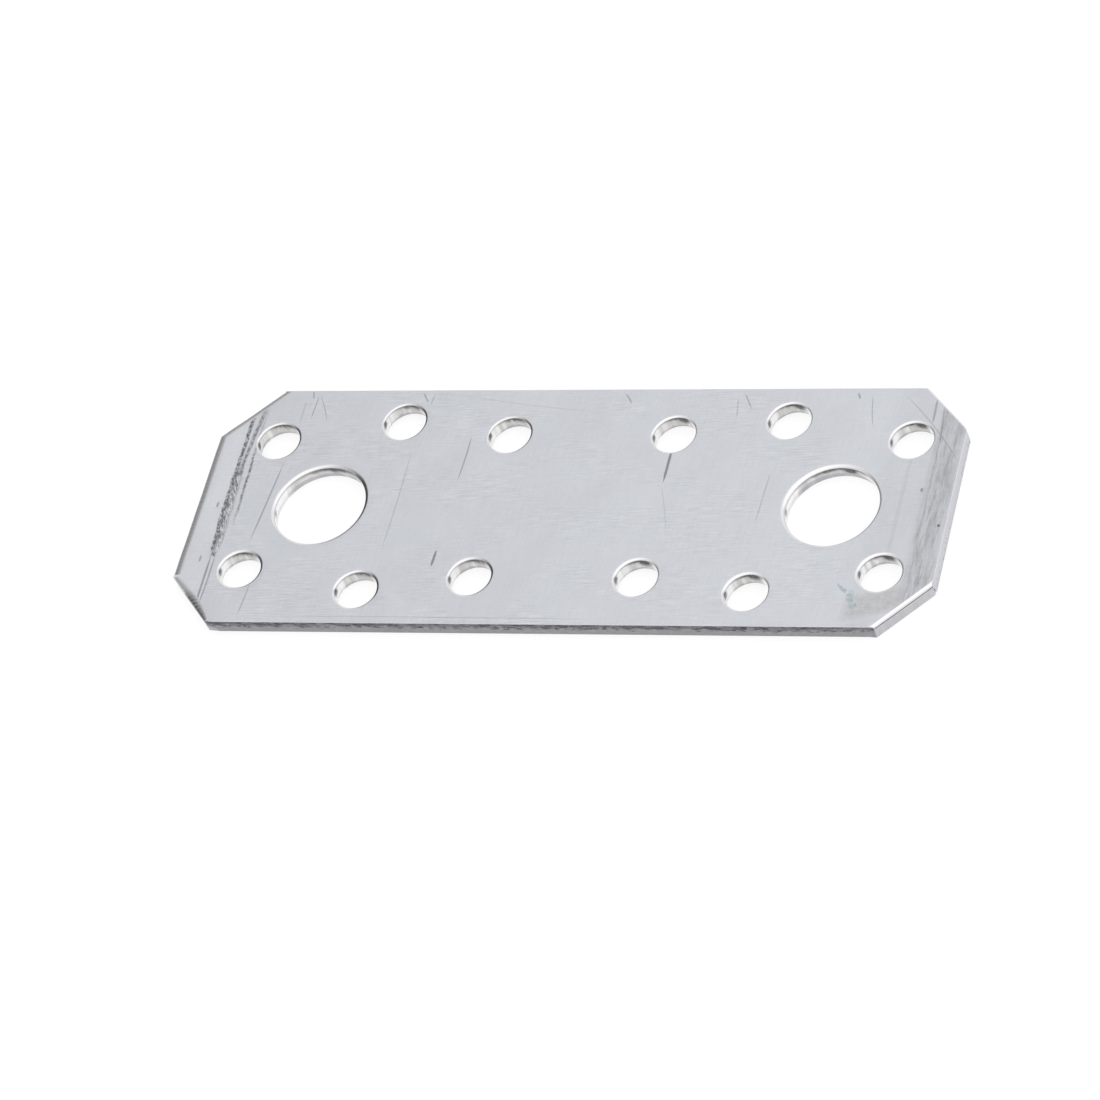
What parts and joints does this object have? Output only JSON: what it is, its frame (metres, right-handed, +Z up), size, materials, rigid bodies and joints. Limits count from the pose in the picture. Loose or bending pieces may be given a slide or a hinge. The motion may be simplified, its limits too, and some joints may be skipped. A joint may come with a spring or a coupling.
{
  "type": "mending plate",
  "caption": "Flat zinc-coated steel joining plate with cut corners, a zigzag of small nail and screw holes and two large bolt holes on its long middle line.",
  "frame": {"origin": "middle of the outline on the underside, which lies on the work", "axes": "+X along the plate, +Y across it, +Z up through the sheet to the face that the punches entered"},
  "size_m": [0.096, 0.035, 0.002],
  "materials": {
    "zinc_coated_steel": "smooth bright zinc coat with fine rolling lines along the plate, light scratches and bare sheared edges"
  },
  "bodies": {
    "root": {"mending_plate": "zinc_coated_steel"}
  },
  "joints": []
}
